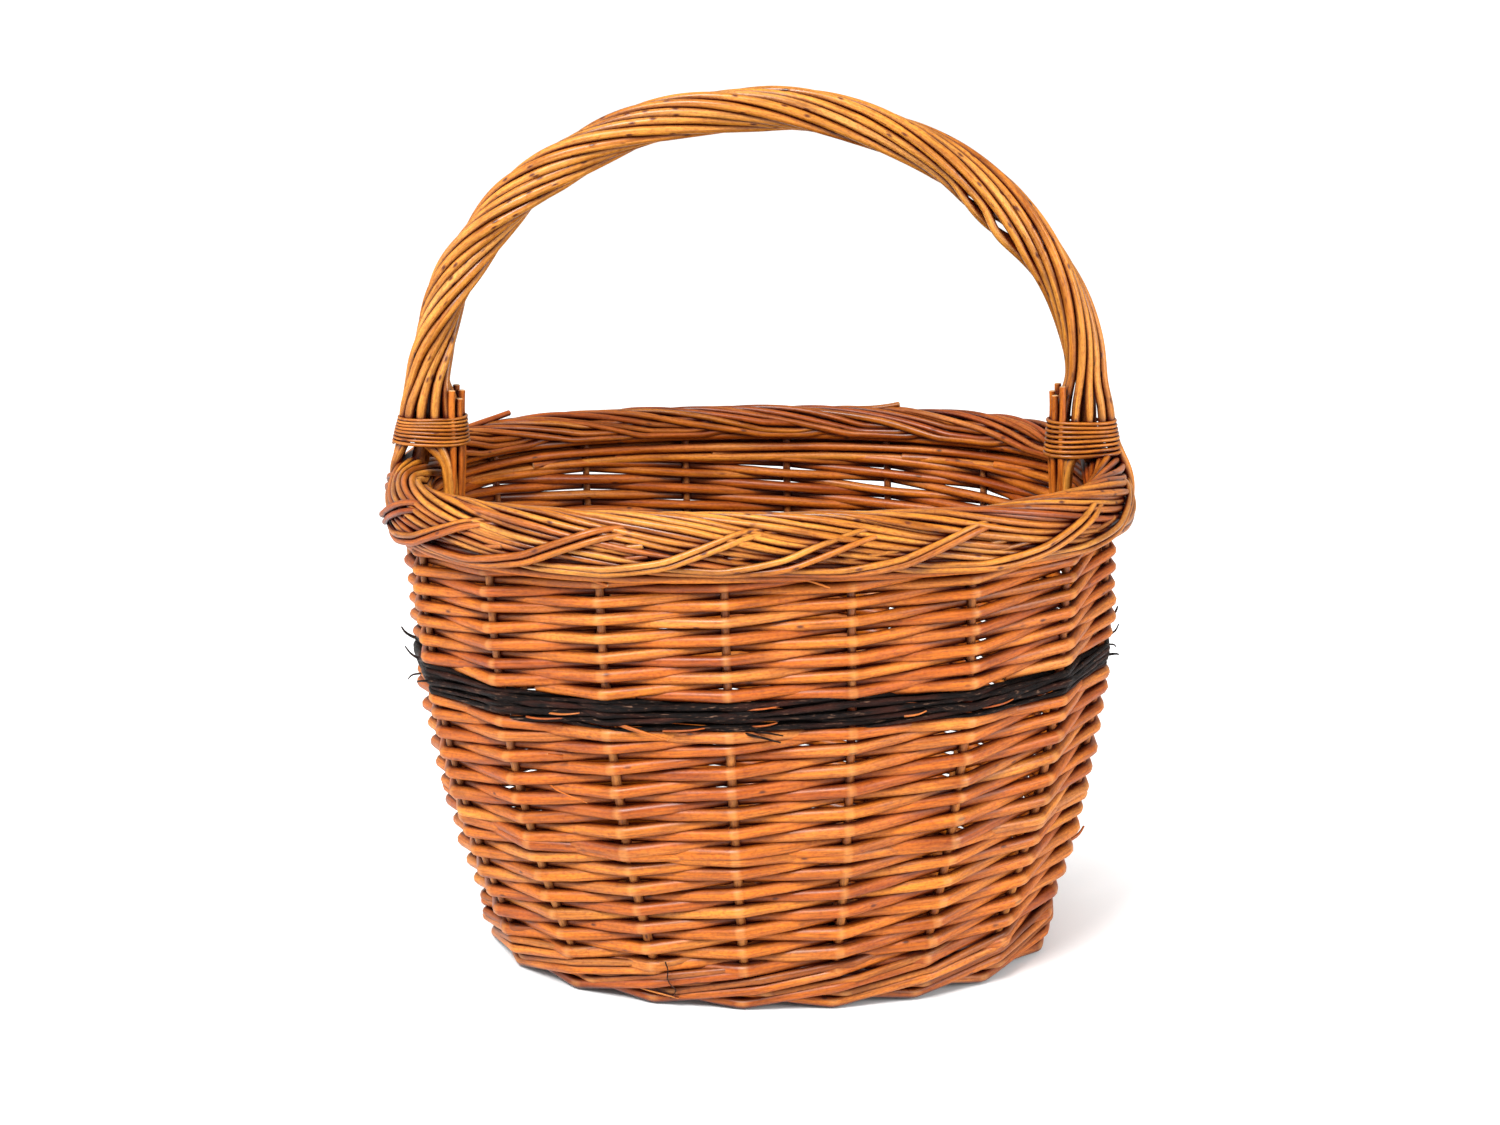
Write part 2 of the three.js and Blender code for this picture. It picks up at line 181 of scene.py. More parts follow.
def resample(points, spacing):
    steps = np.linalg.norm(np.diff(points, axis=0), axis=1)
    lengths = np.concatenate(([0], np.cumsum(steps)))
    count = max(2, int(round(lengths[-1] / spacing)) + 1)
    wanted = np.linspace(0, lengths[-1], count)
    return np.stack([np.interp(wanted, lengths, points[:, k]) for k in range(3)], 1)


def bend(points, softness):
    """Rounds the corners of a path through points, as a rod bent over something does."""
    path = resample(points, BEND_STEP)
    reach = int(np.ceil(3 * softness / BEND_STEP))
    kernel = np.exp(-0.5 * (np.arange(-reach, reach + 1) * BEND_STEP / softness) ** 2)
    kernel /= kernel.sum()
    before = 2 * path[0] - path[reach:0:-1]
    after = 2 * path[-1] - path[-2 : -reach - 2 : -1]
    padded = np.concatenate((before, path, after))
    smooth = np.stack([np.convolve(padded[:, k], kernel, "valid") for k in range(3)], 1)
    return resample(smooth, RING_SPACING)


def wear_and_highlight_near(path, point, reach):
    """How near each step of a path is to a point where the rod is bent, from 0 to 1."""
    return np.exp(-((np.linalg.norm(path - point, axis=1) / reach) ** 2))


def ripple(lengths, wavelength, size):
    """Smooth random values along a rod."""
    knots = np.arange(-1, lengths[-1] / wavelength + 3)
    values = rng.normal(0, size, len(knots))
    return np.interp(lengths / wavelength, knots, values)


# ---- Meshes of rods ----


class Bundle:
    """Rods gathered into one mesh. Each point holds the rod's tint and seed, how far it is bent
    over a stake, and whether it is on a cut end. The map gives lengths along and round a rod."""

    def __init__(self):
        self.points, self.faces, self.map, self.marks = [], [], [], []
        self.count = 0

    def add(self, path, radii, kink=None, lumps=0.03, sides=ROD_SIDES, tint=None):
        steps = np.linalg.norm(np.diff(path, axis=0), axis=1)
        lengths = np.concatenate(([0], np.cumsum(steps)))
        radius = np.interp(lengths / lengths[-1], (0, 1), radii)
        radius = radius * (1 + ripple(lengths, 11 * MM, lumps) + ripple(lengths, 37 * MM, lumps))
        forward = np.gradient(path, axis=0)
        forward /= np.linalg.norm(forward, axis=1)[:, None]
        side = transported(forward)
        other = np.cross(forward, side)
        turn = (2 * np.pi * np.arange(sides) / sides)[None, :, None]
        round_it = side[:, None] * np.cos(turn) + other[:, None] * np.sin(turn)
        rings = path[:, None] + round_it * radius[:, None, None]
        marks = np.zeros((len(path), sides, 4))
        marks[..., 0] = rng.random() if tint is None else tint
        marks[..., 1] = rng.random()
        if kink is not None:
            marks[..., 2] = kink[:, None]
        along = rng.random() * 9 + lengths
        around = 2 * np.pi * np.mean(radii) * np.arange(sides + 1) / sides
        self.sleeve(rings, marks, along, around)
        self.cap(rings[0], path[0], -forward[0], along[0], marks[0], flip=True)
        self.cap(rings[-1], path[-1], forward[-1], along[-1], marks[-1], flip=False)

    def sleeve(self, rings, marks, along, around):
        """The skin of a rod: rings of points joined up with quads, and their map."""
        count, sides = rings.shape[:2]
        i, j = np.meshgrid(np.arange(count - 1), np.arange(sides), indexing="ij")
        following = (j + 1) % sides
        low, high = i * sides, (i + 1) * sides
        quads = np.stack((low + j, low + following, high + following, high + j), -1)
        corners = ((i, j), (i, j + 1), (i + 1, j + 1), (i + 1, j))
        places = [np.stack((along[a], around[b]), -1) for a, b in corners]
        self.points.append(rings.reshape(-1, 3))
        self.marks.append(marks.reshape(-1, 4))
        self.faces.extend((quads.reshape(-1, 4) + self.count).tolist())
        self.map.append(np.stack(places, 2).reshape(-1, 2))
        self.count += count * sides

    def cap(self, ring, centre, outward, u, marks, flip):
        """A cut end: a small bevel, then a flat face."""
        sides = len(ring)
        size = np.linalg.norm(ring[0] - centre)
        inner = centre + (ring - centre) * (1 - CUT_BEVEL) + outward * size * CUT_BEVEL
        edge = np.concatenate((ring, inner))
        edge_marks = np.concatenate((marks, marks))
        edge_marks[sides:, 3] = 1
        base = self.count
        self.points.append(edge)
        self.marks.append(edge_marks)
        for j in range(sides):
            jn = (j + 1) % sides
            quad = [base + j, base + jn, base + sides + jn, base + sides + j]
            self.faces.append(quad[::-1] if flip else quad)
            self.map.append(np.full((4, 2), u))
        flat = [base + sides + j for j in range(sides)]
        self.faces.append(flat[::-1] if flip else flat)
        self.map.append(np.full((sides, 2), u))
        self.count += 2 * sides

    def build(self, name, material, nodes, slot):
        mesh = bpy.data.meshes.new(name)
        mesh.from_pydata(np.concatenate(self.points).tolist(), [], self.faces)
        layer = mesh.uv_layers.new(name="rod_map")
        layer.data.foreach_set("uv", np.concatenate(self.map).ravel())
        marks = mesh.attributes.new("rod_marks", "FLOAT_COLOR", "POINT")
        marks.data.foreach_set("color", np.concatenate(self.marks).ravel())
        mesh.polygons.foreach_set("use_smooth", [len(f) == 4 for f in self.faces])
        mesh.materials.append(material)
        piece = bpy.data.objects.new(name, mesh)
        bpy.context.scene.collection.objects.link(piece)
        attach(piece, "root")
        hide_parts(*nodes)
        return piece


def transported(forward):
    """A sideways direction for each step of a path that turns no more than the path does."""
    start = np.array((0, 0, 1.0)) if abs(forward[0, 2]) < 0.8 else np.array((1.0, 0, 0))
    side = np.cross(start, forward[0])
    side /= np.linalg.norm(side)
    sides = [side]
    for direction in forward[1:]:
        side = side - direction * side.dot(direction)
        side /= np.linalg.norm(side)
        sides.append(side)
    return np.array(sides)


# ---- Materials ----


def node(tree, kind, **settings):
    made = tree.nodes.new(kind)
    for key, value in settings.items():
        setattr(made, key, value)
    return made


def link(tree, a, b):
    tree.links.new(a, b)


def colour(hex_text):
    """A linear colour from a written sRGB one."""
    parts = [int(hex_text[i : i + 2], 16) / 255 for i in (0, 2, 4)]
    return [p / 12.92 if p <= 0.04045 else ((p + 0.055) / 1.055) ** 2.4 for p in parts] + [1]


# Repeats of each texture in a metre, along a rod and round it.
WILLOW_SCALES = {
    "mottle": (22, 110),
    "streak": (60, 950),
    "grain": (420, 800),
    "patch": (9, 40),
    "specks": (75, 170),
}
BARK_SCALES = {"rough": (160, 700), "patch": (30, 160)}
SEED_SPREAD = 60  # takes each rod to a part of the texture of its own


def stretched(tree, separate, seed, along, around):
    """A texture place that runs along a rod, different on each rod."""
    place = node(tree, "ShaderNodeCombineXYZ")
    for axis, output, scale in (("X", separate.outputs[0], along), ("Y", separate.outputs[1], around)):
        times = node(tree, "ShaderNodeMath", operation="MULTIPLY")
        link(tree, output, times.inputs[0])
        times.inputs[1].default_value = scale
        link(tree, times.outputs[0], place.inputs[axis])
    times = node(tree, "ShaderNodeMath", operation="MULTIPLY")
    link(tree, seed, times.inputs[0])
    times.inputs[1].default_value = SEED_SPREAD
    link(tree, times.outputs[0], place.inputs["Z"])
    return place.outputs[0]


def noise(tree, place, detail=3, roughness=0.55):
    made = node(tree, "ShaderNodeTexNoise")
    link(tree, place, made.inputs["Vector"])
    made.inputs["Scale"].default_value = 1
    made.inputs["Detail"].default_value = detail
    made.inputs["Roughness"].default_value = roughness
    return made.outputs["Fac"]


def ramp(tree, value, stops):
    made = node(tree, "ShaderNodeValToRGB")
    elements = made.color_ramp.elements
    while len(elements) < len(stops):
        elements.new(0.5)
    for element, (position, shade) in zip(elements, stops):
        element.position = position
        element.color = shade
    link(tree, value, made.inputs[0])
    return made.outputs[0]


def mix(tree, factor, a, b, blend="MIX"):
    made = node(tree, "ShaderNodeMix", data_type="RGBA", blend_type=blend)
    for value, socket in ((factor, made.inputs[0]), (a, made.inputs[6]), (b, made.inputs[7])):
        if isinstance(value, (float, int, list)):
            socket.default_value = value
        else:
            link(tree, value, socket)
    return made.outputs[2]


def openness(tree, reach):
    """How open the surface is: 1 out in the open, 0 deep down between rods."""
    made = node(tree, "ShaderNodeAmbientOcclusion", samples=4)
    made.inputs["Distance"].default_value = reach
    return made.outputs["AO"]


def grey(value):
    return [value, value, value, 1]


def rod_inputs(tree):
    uv = node(tree, "ShaderNodeUVMap", uv_map="rod_map")
    separate = node(tree, "ShaderNodeSeparateXYZ")
    link(tree, uv.outputs[0], separate.inputs[0])
    marks = node(tree, "ShaderNodeAttribute", attribute_name="rod_marks")
    split = node(tree, "ShaderNodeSeparateColor")
    link(tree, marks.outputs["Color"], split.inputs[0])
    return separate, split.outputs[0], split.outputs[1], split.outputs[2], marks.outputs["Alpha"]


CREASE_REACH = 9 * MM  # painted shade darkens the colour between rods nearer than this


def willow(name, tones, crease, roughness=0.46, specks=0.03, darkest_shade_openness=0.35):
    """Varnished willow: each rod its own tone, with fibre streaks, mottling and knots, bends paler with
    wear and a painted highlight, and painted shade between rods.
    """
    material = bpy.data.materials.new(name)
    material.use_nodes = True
    tree = material.node_tree
    shader = tree.nodes["Principled BSDF"]
    separate, tint, seed, kink, end = rod_inputs(tree)

    places = {key: stretched(tree, separate, seed, *scale) for key, scale in WILLOW_SCALES.items()}
    mottle = noise(tree, places["mottle"], detail=4)
    streak = noise(tree, places["streak"], detail=3)
    grain = noise(tree, places["grain"], detail=4, roughness=0.7)
    patch = noise(tree, places["patch"], detail=2)

    tone = ramp(tree, tint, [(i / (len(tones) - 1), colour(t)) for i, t in enumerate(tones)])
    darker = ramp(tree, mottle, [(0.32, colour(crease)), (0.58, grey(1))])
    base = mix(tree, 0.55, tone, darker, "MULTIPLY")
    lighter = ramp(tree, patch, [(0.5, grey(0)), (0.72, grey(1))])
    base = mix(tree, lighter, base, mix(tree, 0.3, base, colour("f0a050"), "SCREEN"))
    fibres = ramp(tree, streak, [(0.32, grey(0.5)), (0.6, grey(1.14))])
    base = mix(tree, 0.7, base, fibres, "MULTIPLY")
    pores = ramp(tree, grain, [(0.36, colour("c08050")), (0.52, grey(1)), (0.68, grey(1.12))])
    base = mix(tree, 0.5, base, pores, "MULTIPLY")

    cells = node(tree, "ShaderNodeTexVoronoi", voronoi_dimensions="2D")
    link(tree, places["specks"], cells.inputs["Vector"])
    cells.inputs["Scale"].default_value = 1
    speck = ramp(tree, cells.outputs["Distance"], [(0.07, grey(1)), (0.2, grey(0))])
    chance = node(tree, "ShaderNodeSeparateColor")
    link(tree, cells.outputs["Color"], chance.inputs[0])
    chosen = ramp(tree, chance.outputs[0], [(specks, grey(1)), (specks + 0.06, grey(0))])
    knot = mix(tree, 1.0, speck, chosen, "MULTIPLY")
    base = mix(tree, knot, base, colour("5c280e"))

    # Paler where a rod bends in front of a stake or dips to the floor: partly wear, partly a painted
    # highlight.
    bend_wear_and_highlight = ramp(tree, kink, [(0.5, grey(0)), (1.0, grey(0.34))])
    base = mix(tree, bend_wear_and_highlight, base, colour("e4a45c"))
    wood = ramp(tree, streak, [(0.3, colour("b98a58")), (0.7, colour("e2bb86"))])
    base = mix(tree, end, base, wood)
    # Painted shade: the colour goes red-brown down between rods, where the ambient occlusion is low.
    painted_crease_shade = ramp(tree, openness(tree, CREASE_REACH), [(darkest_shade_openness, colour("6a2806")), (0.94, grey(1))])
    base = mix(tree, 1.0, base, painted_crease_shade, "MULTIPLY")
    link(tree, base, shader.inputs["Base Color"])

    gloss = ramp(tree, mottle, [(0.3, grey(roughness - 0.12)), (0.7, grey(roughness + 0.14))])
    link(tree, gloss, shader.inputs["Roughness"])
    shader.inputs["Specular IOR Level"].default_value = 0.34
    shader.inputs["Coat Weight"].default_value = 0.08
    shader.inputs["Coat Roughness"].default_value = 0.25

    bump = node(tree, "ShaderNodeBump")
    bump.inputs["Strength"].default_value = 0.5
    bump.inputs["Distance"].default_value = 0.4 * MM
    height = mix(tree, 0.5, mix(tree, 0.5, streak, grain), mottle)
    height = mix(tree, knot, height, grey(1.4))
    link(tree, height, bump.inputs["Height"])
    link(tree, bump.outputs[0], shader.inputs["Normal"])
    return material


def bark(name):
    """Near-black willow in rough bark, its raised grain lighter grey-brown as a painted highlight."""
    material = bpy.data.materials.new(name)
    material.use_nodes = True
    tree = material.node_tree
    shader = tree.nodes["Principled BSDF"]
    separate, _, seed, _, end = rod_inputs(tree)
    places = {key: stretched(tree, separate, seed, *scale) for key, scale in BARK_SCALES.items()}
    rough = noise(tree, places["rough"], detail=6, roughness=0.7)
    patch = noise(tree, places["patch"], detail=3)
    # The lightest grey-brown stop, on the raised grain, is a painted highlight.
    bark_and_painted_highlight = [(0.42, colour("050202")), (0.58, colour("180b07")), (0.72, colour("8c6a56"))]
    browner = ramp(tree, patch, [(0.5, grey(0)), (0.7, grey(0.55))])
    base = mix(tree, browner, ramp(tree, rough, bark_and_painted_highlight), colour("4a2216"))
    base = mix(tree, end, base, colour("c08a58"))
    # Painted shade: the bark darkens almost to black down between rods, where the ambient occlusion is
    # low.
    painted_crevice_shade = ramp(tree, openness(tree, CREASE_REACH), [(0.35, grey(0.08)), (0.85, grey(1))])
    base = mix(tree, 1.0, base, painted_crevice_shade, "MULTIPLY")
    link(tree, base, shader.inputs["Base Color"])
    link(tree, ramp(tree, rough, [(0.3, grey(0.3)), (0.7, grey(0.6))]), shader.inputs["Roughness"])
    shader.inputs["Specular IOR Level"].default_value = 0.12
    bump = node(tree, "ShaderNodeBump")
    bump.inputs["Strength"].default_value = 1
    bump.inputs["Distance"].default_value = 1.5 * MM
    link(tree, rough, bump.inputs["Height"])
    link(tree, bump.outputs[0], shader.inputs["Normal"])
    return material


WALL = willow("wall_willow", ("b0560a", "c0640e", "cc7214", "b65c0a", "d48020"), "903e06")
# Darker willow for the foot's rods: painted shade, low down by the floor where less light falls.
SHADED_FOOT = willow("shaded_foot_willow", ("8c460a", "a25410", "ae6218", "984c0c"), "6c3004")
STAKE = willow("stake_willow", ("c87a2c", "d88e40"), "a85e1c")
# The border and the handle get deeper painted shade between their rods.
BORDER = willow(
    "border_willow",
    ("a04a0c", "b05e12", "be721a", "cc862c"),
    "7c3a08",
    specks=0.12,
    darkest_shade_openness=0.6,
    roughness=0.38,
)
HANDLE = willow(
    "handle_willow",
    ("c07422", "d08830", "c47c28", "dc9c4e"),
    "84400c",
    specks=0.34,
    darkest_shade_openness=0.62,
    roughness=0.38,
)
STICK = willow("stick_willow", ("7e3c1a", "945024"), "5c2810")
DARK = bark("dark_willow")

# ---- Stakes ----


def add_stakes():
    for index in range(STAKES):
        share = stake_share(index)
        upright, _ = wall(share, np.linspace(STAKE_TOE["bend"], STAKE_TOP, 12))
        toe, _ = wall(share, STAKE_TOE["height"], np.array((-36, -16, -4)) * MM)
        path = bend(np.concatenate((toe, upright)), STAKE_TOE["softness"])
        bundle = Bundle()
        bundle.add(path, (STAKE_RADIUS["butt"], STAKE_RADIUS["tip"]))
        bundle.build(f"willow_stake_{index + 1:02d}", STAKE, [f"stake_{index + 1:02d}"], "stake_willow")


# ---- Randing: the woven wall ----


def over_under(positions, heights, in_front, depth):
    """A rod that runs straight from stake to stake, in front of some and behind the others."""
    outwards = np.where(in_front, depth, -depth)
    outwards = outwards + rng.normal(0, RANDING_WANDER["depth"], len(positions))
    points, _ = wall(stake_share(positions), heights, outwards)
    return points


def add_randing(settings):
    """One rod starts at each stake and climbs one row for every stake it passes."""
    pitch = settings["pitch"] * MM
    butt, tip = (r * MM for r in settings["radii"])
    depth = STAKE_RADIUS["tip"] + butt * RANDING_GRIP
    bundles = [Bundle() for _ in range(RANDING_PIECES)]
    for first in range(STAKES):
        steps = np.arange(-1, settings["rows"] + 2)
        rows = np.clip(steps, -0.4, settings["rows"] - 0.6)
        wander = rng.normal(0, RANDING_WANDER["height"], len(steps))
        heights = settings["from"] * MM + pitch * rows + wander
        points = over_under(first + steps, heights, steps % 2 == 0, depth)
        starts_at, ends_at = rng.uniform(0.1, 0.45, 2)
        points[0] = lerp(points[0], points[1], starts_at)
        points[-1] = lerp(points[-1], points[-2], ends_at)
        path = bend(points, STAKE_BEND)
        bends = points[1:-1][(steps[1:-1] % 2) == 0]
        kink = np.max([wear_and_highlight_near(path, point, KINK_REACH["wall"]) for point in bends], axis=0)
        radii = (butt * rng.uniform(0.88, 1.08), tip * rng.uniform(0.88, 1.1))
        bundles[first % RANDING_PIECES].add(path, radii, kink=kink)
    for number, bundle in enumerate(bundles):
        bundle.build(f"{settings['name']}_rods_{number + 1}", WALL, [settings["node"]], "wall_willow")


# ---- Wales ----


def wale_points(first_stake, count, base, rise, depth, sag):
    """A weaver that passes in front of two stakes and behind one, again and again."""
    steps = np.arange(count)
    behind = steps % 3 == 0
    heights = base + np.where(steps % 3 == 1, -rise, 0) + np.where(steps % 3 == 2, rise, 0)
    heights = heights + rng.normal(0, sag, count)
    return over_under(first_stake + steps, heights, ~behind, depth)


DARK_WALE = {"from": 176 * MM, "to": 192 * MM, "rounds": 4, "lumps": 0.15, "slips": 16}


def add_dark_wale():
    """Rough dark rods in a wale, with slips of bare willow left showing between them."""
    low, high = DARK_WALE["from"], DARK_WALE["to"]
    bundle = Bundle()
    for level in range(DARK_WALE["rounds"]):
        base = lerp(low, high, (level + 0.5) / DARK_WALE["rounds"])
        for weaver in range(3):
            depth = rng.uniform(3.6, 5.2) * MM
            points = wale_points(weaver, STAKES + 2, base, 1.9 * MM, depth, 1.2 * MM)
            size = rng.uniform(1.3, 2.4) * MM
            bundle.add(bend(points, STAKE_BEND), (size, size * 0.75), lumps=DARK_WALE["lumps"])
    bundle.build("dark_wale_rods", DARK, ["dark_wale"], "dark_willow")
    slips = Bundle()
    for _ in range(DARK_WALE["slips"]):
        place = rng.uniform(0, 1)
        shares = place + np.linspace(0, rng.uniform(10, 26) * MM / RIM_LENGTH, 4)
        heights = rng.uniform(low, high) + np.linspace(0, 2 * MM, 4)
        outwards = np.array((3, 5.4, 5.8, 3.6)) * MM
        points, _ = wall(shares, heights, outwards)
        slips.add(bend(points, 2 * MM), (0.65 * MM, 0.4 * MM), tint=0)
    slips.build("dark_wale_slips", WALL, ["dark_wale"], "dark_willow")


FOOT_WALES = ((6.5 * MM, 1.5 * MM), (15 * MM, 4.2 * MM))  # the height and depth of each round

# The way of a rod of the foot's border: stakes passed, height in mm and stand-off in mm. It dips
# to the floor at its third place. The second lane's rods lie above the first's, further in.
FOOT_WAY = {
    "stakes": (-1.3, -0.2, 1.0, 2.0, 3.0, 3.5),
    "heights": (20, 12, 3.4, 15, 24, 27),
    "outwards": (-1, 3.5, 6.8, 8, 5.5, -4),
}
FOOT_LANES = (
    {"size": 3.3 * MM, "material": WALL, "ahead": 0, "above": 0, "inside": 0},
    {"size": 2.7 * MM, "material": SHADED_FOOT, "ahead": 0.12, "above": 5 * MM, "inside": 1.2 * MM},
)
FLOOR_CLEARANCE = 3.4 * MM


def add_foot():
    """A wale round the foot, and over it a border of rods that dip to the floor and rise again."""
    wale = Bundle()
    for base, depth in FOOT_WALES:
        for weaver in range(3):
            points = wale_points(weaver, STAKES + 2, base, 1.6 * MM, depth, 0.3 * MM)
            wale.add(bend(points, 3 * MM), (2.6 * MM, 2.2 * MM))
    wale.build("foot_wale_rods", SHADED_FOOT, ["foot_wale"], "wall_willow")
    for number, lane in enumerate(FOOT_LANES):
        border = Bundle()
        for first in range(STAKES):
            steps = np.array(FOOT_WAY["stakes"]) + lane["ahead"]
            heights = np.array(FOOT_WAY["heights"]) * MM + lane["above"]
            outwards = np.array(FOOT_WAY["outwards"]) * MM - lane["inside"]
            steps[1:-1] += rng.normal(0, 0.06, 4)
            heights[1:-1] += rng.normal(0, 0.8 * MM, 4)
            heights[2] = max(heights[2], FLOOR_CLEARANCE)
            points, _ = wall(stake_share(first + steps), heights, outwards)
            path = bend(points, 1.3 * MM)
            kink = wear_and_highlight_near(path, points[2], KINK_REACH["foot"])
            border.add(path, (lane["size"], lane["size"] * 0.8), kink=kink)
        border.build(f"foot_border_rods_{number + 1}", lane["material"], ["foot_wale"], "wall_willow")


# ---- Border ----


def arch_table():
    angles = np.radians(np.linspace(*BORDER_ARCH_ANGLES, 400))
    x = BORDER_ARCH["across"] * np.cos(angles)
    z = BORDER_ARCH["up"] * np.sin(angles)
    lengths = np.concatenate(([0], np.cumsum(np.hypot(np.diff(x), np.diff(z)))))
    return angles, lengths


ARCH_ANGLES, ARCH_LENGTHS = arch_table()
ARCH_WIDTH = ARCH_LENGTHS[-1]


def on_arch(share, across, lift):
    """A point over the rim: across is the length up and over from the outer edge."""
    angle = np.interp(across, ARCH_LENGTHS, ARCH_ANGLES)
    height = np.full_like(angle, BORDER_ARCH["height"])
    points, out = wall(share, height, np.full_like(angle, BORDER_ARCH["out"]))
    points = points + out * ((BORDER_ARCH["across"] + lift) * np.cos(angle))[:, None]
    points[:, 2] += (BORDER_ARCH["up"] + lift) * np.sin(angle)
    return points


# The rods of each stake leave together. They come down over the others from the inner edge to the
# outer one, and there a pair of them turns up again, over the groups it meets, until it is tucked
# in halfway. Turns along that path: 90 degrees is at the inner edge, 270 at the outer one.
GROUP = {
    "rods": 4,
    "pair": 2,
    "radii": (2.15 * MM, 1.8 * MM),
    "lift": 2.3 * MM,
    "flatness": 1.12,
    "tuck": 4 * MM,  # how deep the rods that don't turn up go
}
GROUP_STAKES = (  # turns, and the stakes passed by then
    (0, 90, 262, 300, 360, 450),
    (-1.6, 0, 3.6, 4.5, 5.15, 6.2),
)
GROUP_LIFTS = (  # turns, and how far out the rod lies there, in lifts
    (45, 75, 110, 175, 215, 262, 292, 348, 380, 400),
    (-1.5, -0.6, 0.7, 0.9, -0.3, -0.2, 1.4, 1.2, -1.2, -1.6),
)
GROUP_ENDS = (397, 390, 290, 282)  # where each rod of a group is cut off
GROUP_START = 50
BORDER_PIECES = 3


def border_tint(share):
    """Golden at the front, redder round the ends and the back."""
    point, _ = wall(share, RIM["height"])
    golden = 0.55 * smoothstep(-0.4, 0.9, -point[1] / RIM["half_depth"])
    return float(np.clip(0.15 + golden + rng.normal(0, 0.18), 0, 1))


def add_border():
    spacing = 1.86 * GROUP["radii"][0]
    reach = ARCH_WIDTH / 2 - spacing - 0.8 * MM
    bundles = [Bundle() for _ in range(BORDER_PIECES)]
    for first in range(STAKES):
        drift = rng.uniform(-0.14, 0.14)
        for lane in range(GROUP["rods"]):
            ends = (GROUP_START + rng.uniform(-8, 8), GROUP_ENDS[lane] + rng.uniform(-12, 12))
            turn = np.linspace(*ends, 170)
            share = stake_share(first + drift + np.interp(turn, *GROUP_STAKES))
            along = (share - share[0]) * RIM_LENGTH
            swing = np.arcsin(np.sin(np.radians(turn))) * 2 / np.pi
            middle = ARCH_WIDTH / 2 + reach * np.clip(GROUP["flatness"] * swing, -1, 1)
            slope = np.gradient(middle, along)
            steep = np.hypot(1, slope)
            aside = (lane - (GROUP["rods"] - 1) / 2) * spacing
            across = middle + (aside + ripple(along, 50 * MM, 0.7 * MM)) / steep
            lift = GROUP["lift"] * np.interp(turn, *GROUP_LIFTS) + ripple(along, 30 * MM, 0.5 * MM)
            if lane >= GROUP["pair"]:
                lift = lift - GROUP["tuck"] * smoothstep(235, 275, turn)
            moved = share - aside * slope / steep / RIM_LENGTH
            path = bend(on_arch(moved, across, lift), 3 * MM)
            radii = np.array(GROUP["radii"]) * rng.uniform(0.9, 1.1)
            tint = border_tint(share[len(share) // 2])
            bundles[first % BORDER_PIECES].add(path, radii, tint=tint)
    replaced = [f"border_plait_strand_{k}" for k in (1, 2, 3)]
    for number, bundle in enumerate(bundles):
        bundle.build(f"border_plait_rods_{number + 1}", BORDER, replaced, "border_willow")


# The rings of rods that the border is plaited over: stand-off from the wall and height, in mm.
CORE_RINGS = (
    (-4, 262),
    (7, 261),
    (-4.5, 268),
    (8, 267),
    (-4, 275),
    (7.5, 273),
    (-2, 281),
    (6, 279),
    (2, 285),
)
CORE_RADIUS = 2.7 * MM


def add_border_core():
    bundle = Bundle()
    share = np.linspace(0, 1, 500)
    for out, height in CORE_RINGS:
        points, _ = wall(share, height * MM, out * MM)
        points[:, 2] += ripple(share * RIM_LENGTH, 60 * MM, 0.5 * MM)
        bundle.add(bend(points, 5 * MM), (CORE_RADIUS, CORE_RADIUS))
    bundle.build("border_core_rods", WALL, ["border_core"], "border_willow")


# ---- Handle ----

ROPE = {
    "rods": 12,
    "turns": 2.05,
    "radius": 9.3 * MM,
    "rod_radius": 2.6 * MM,
    "slit": 6.6 * MM,  # how far the inner rods stand off where the rope has opened
    "slit_at": 0.76,
    "slit_length": 0.055,
}
STRAND_OF_ROD = (1, 1, 1, 2, 2, 3, 3, 3, 4, 4, 5, 5)  # the strand of the part that each rod replaces
CORE_ROD_RADIUS = 5.6 * MM


def bow_point(share):
    angle = np.pi * (1 - share)
    x = BOW_SHAPE["half_span"] * np.cos(angle)
    z = BOW_SHAPE["spring_height"] + BOW_SHAPE["rise"] * np.sin(angle)
    return np.stack((x, np.zeros_like(x), z), -1)


